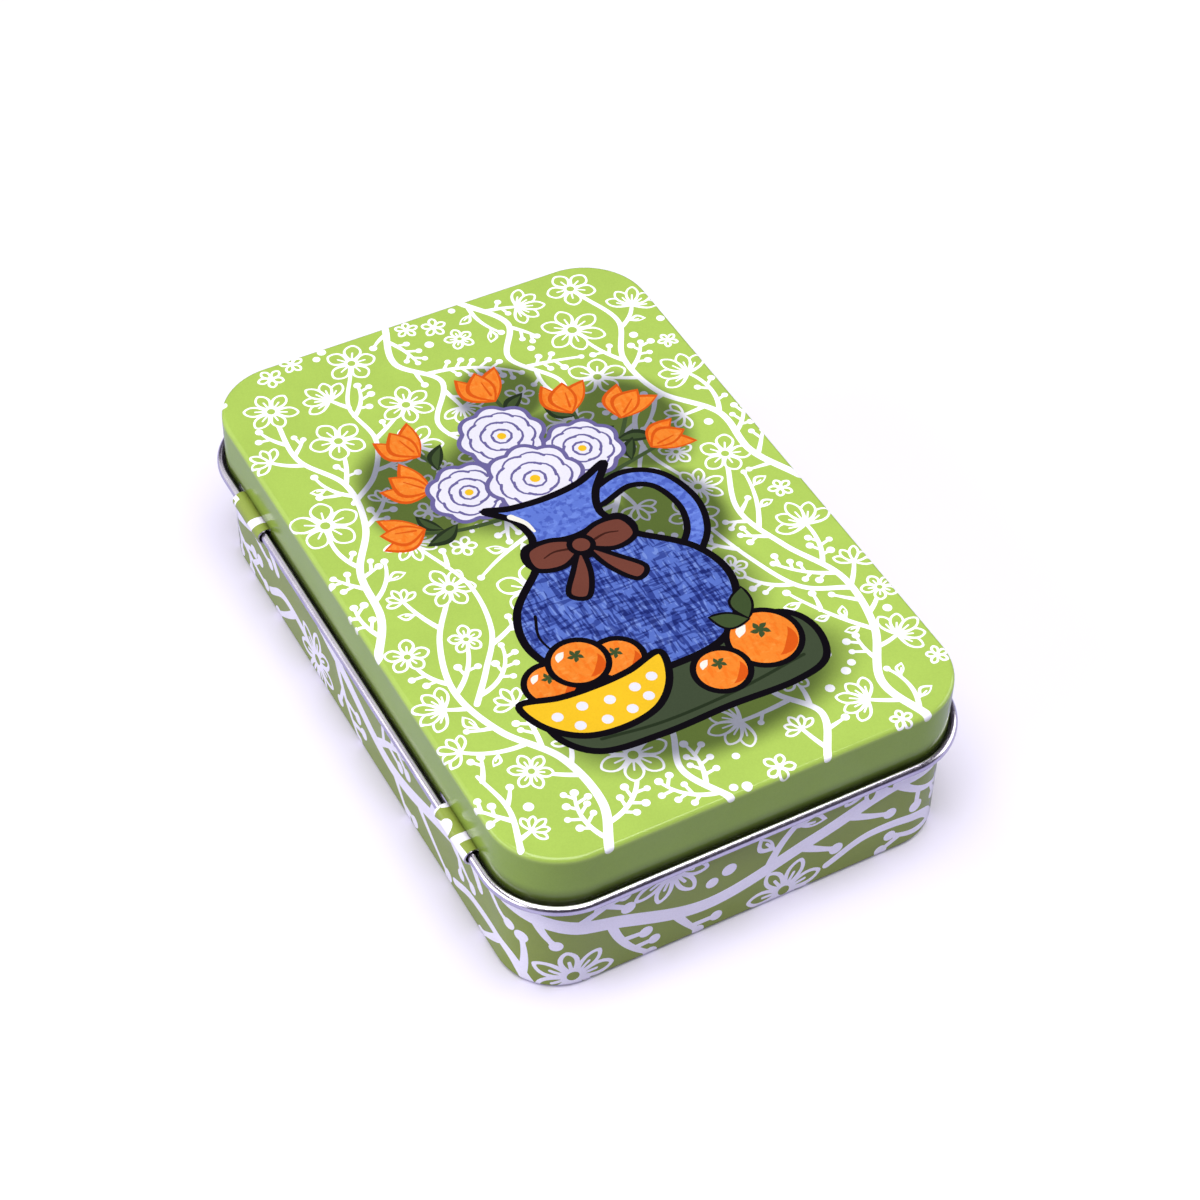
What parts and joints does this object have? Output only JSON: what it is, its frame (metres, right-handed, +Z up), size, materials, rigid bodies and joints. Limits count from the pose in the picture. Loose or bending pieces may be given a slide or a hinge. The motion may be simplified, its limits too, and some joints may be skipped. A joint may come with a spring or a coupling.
{
  "type": "hinged trinket tin",
  "caption": "Pocket-size rectangular tinplate box with rounded corners: a drawn tray and a drawn lid hinged on tabs wrapped round the lid's rolled bead.",
  "frame": {"origin": "middle of the overall footprint, on the surface that the tin stands on", "axes": "+X along the tin, +Y towards the hinge side, +Z up"},
  "size_m": [0.095, 0.0646, 0.025],
  "materials": {
    "tray_print": "olive green printed tinplate under a satin varnish, pale lilac scroll print, bare inside",
    "lid_print": "lime green printed tinplate under a satin varnish, white scroll print, bare inside",
    "bare_tinplate": "bright bare tinplate of the bead, the cut edges and the inside"
  },
  "bodies": {
    "tray": {"base_tray": "tray_print"},
    "lid": {"hinged_lid": "lid_print"}
  },
  "joints": [
    {"name": "lid_hinge", "type": "hinge", "parent": "tray", "child": "lid", "pos_m": [0, 0.03106, 0.0166], "axis": [-1, 0, 0], "range_deg": [0, 110]}
  ]
}
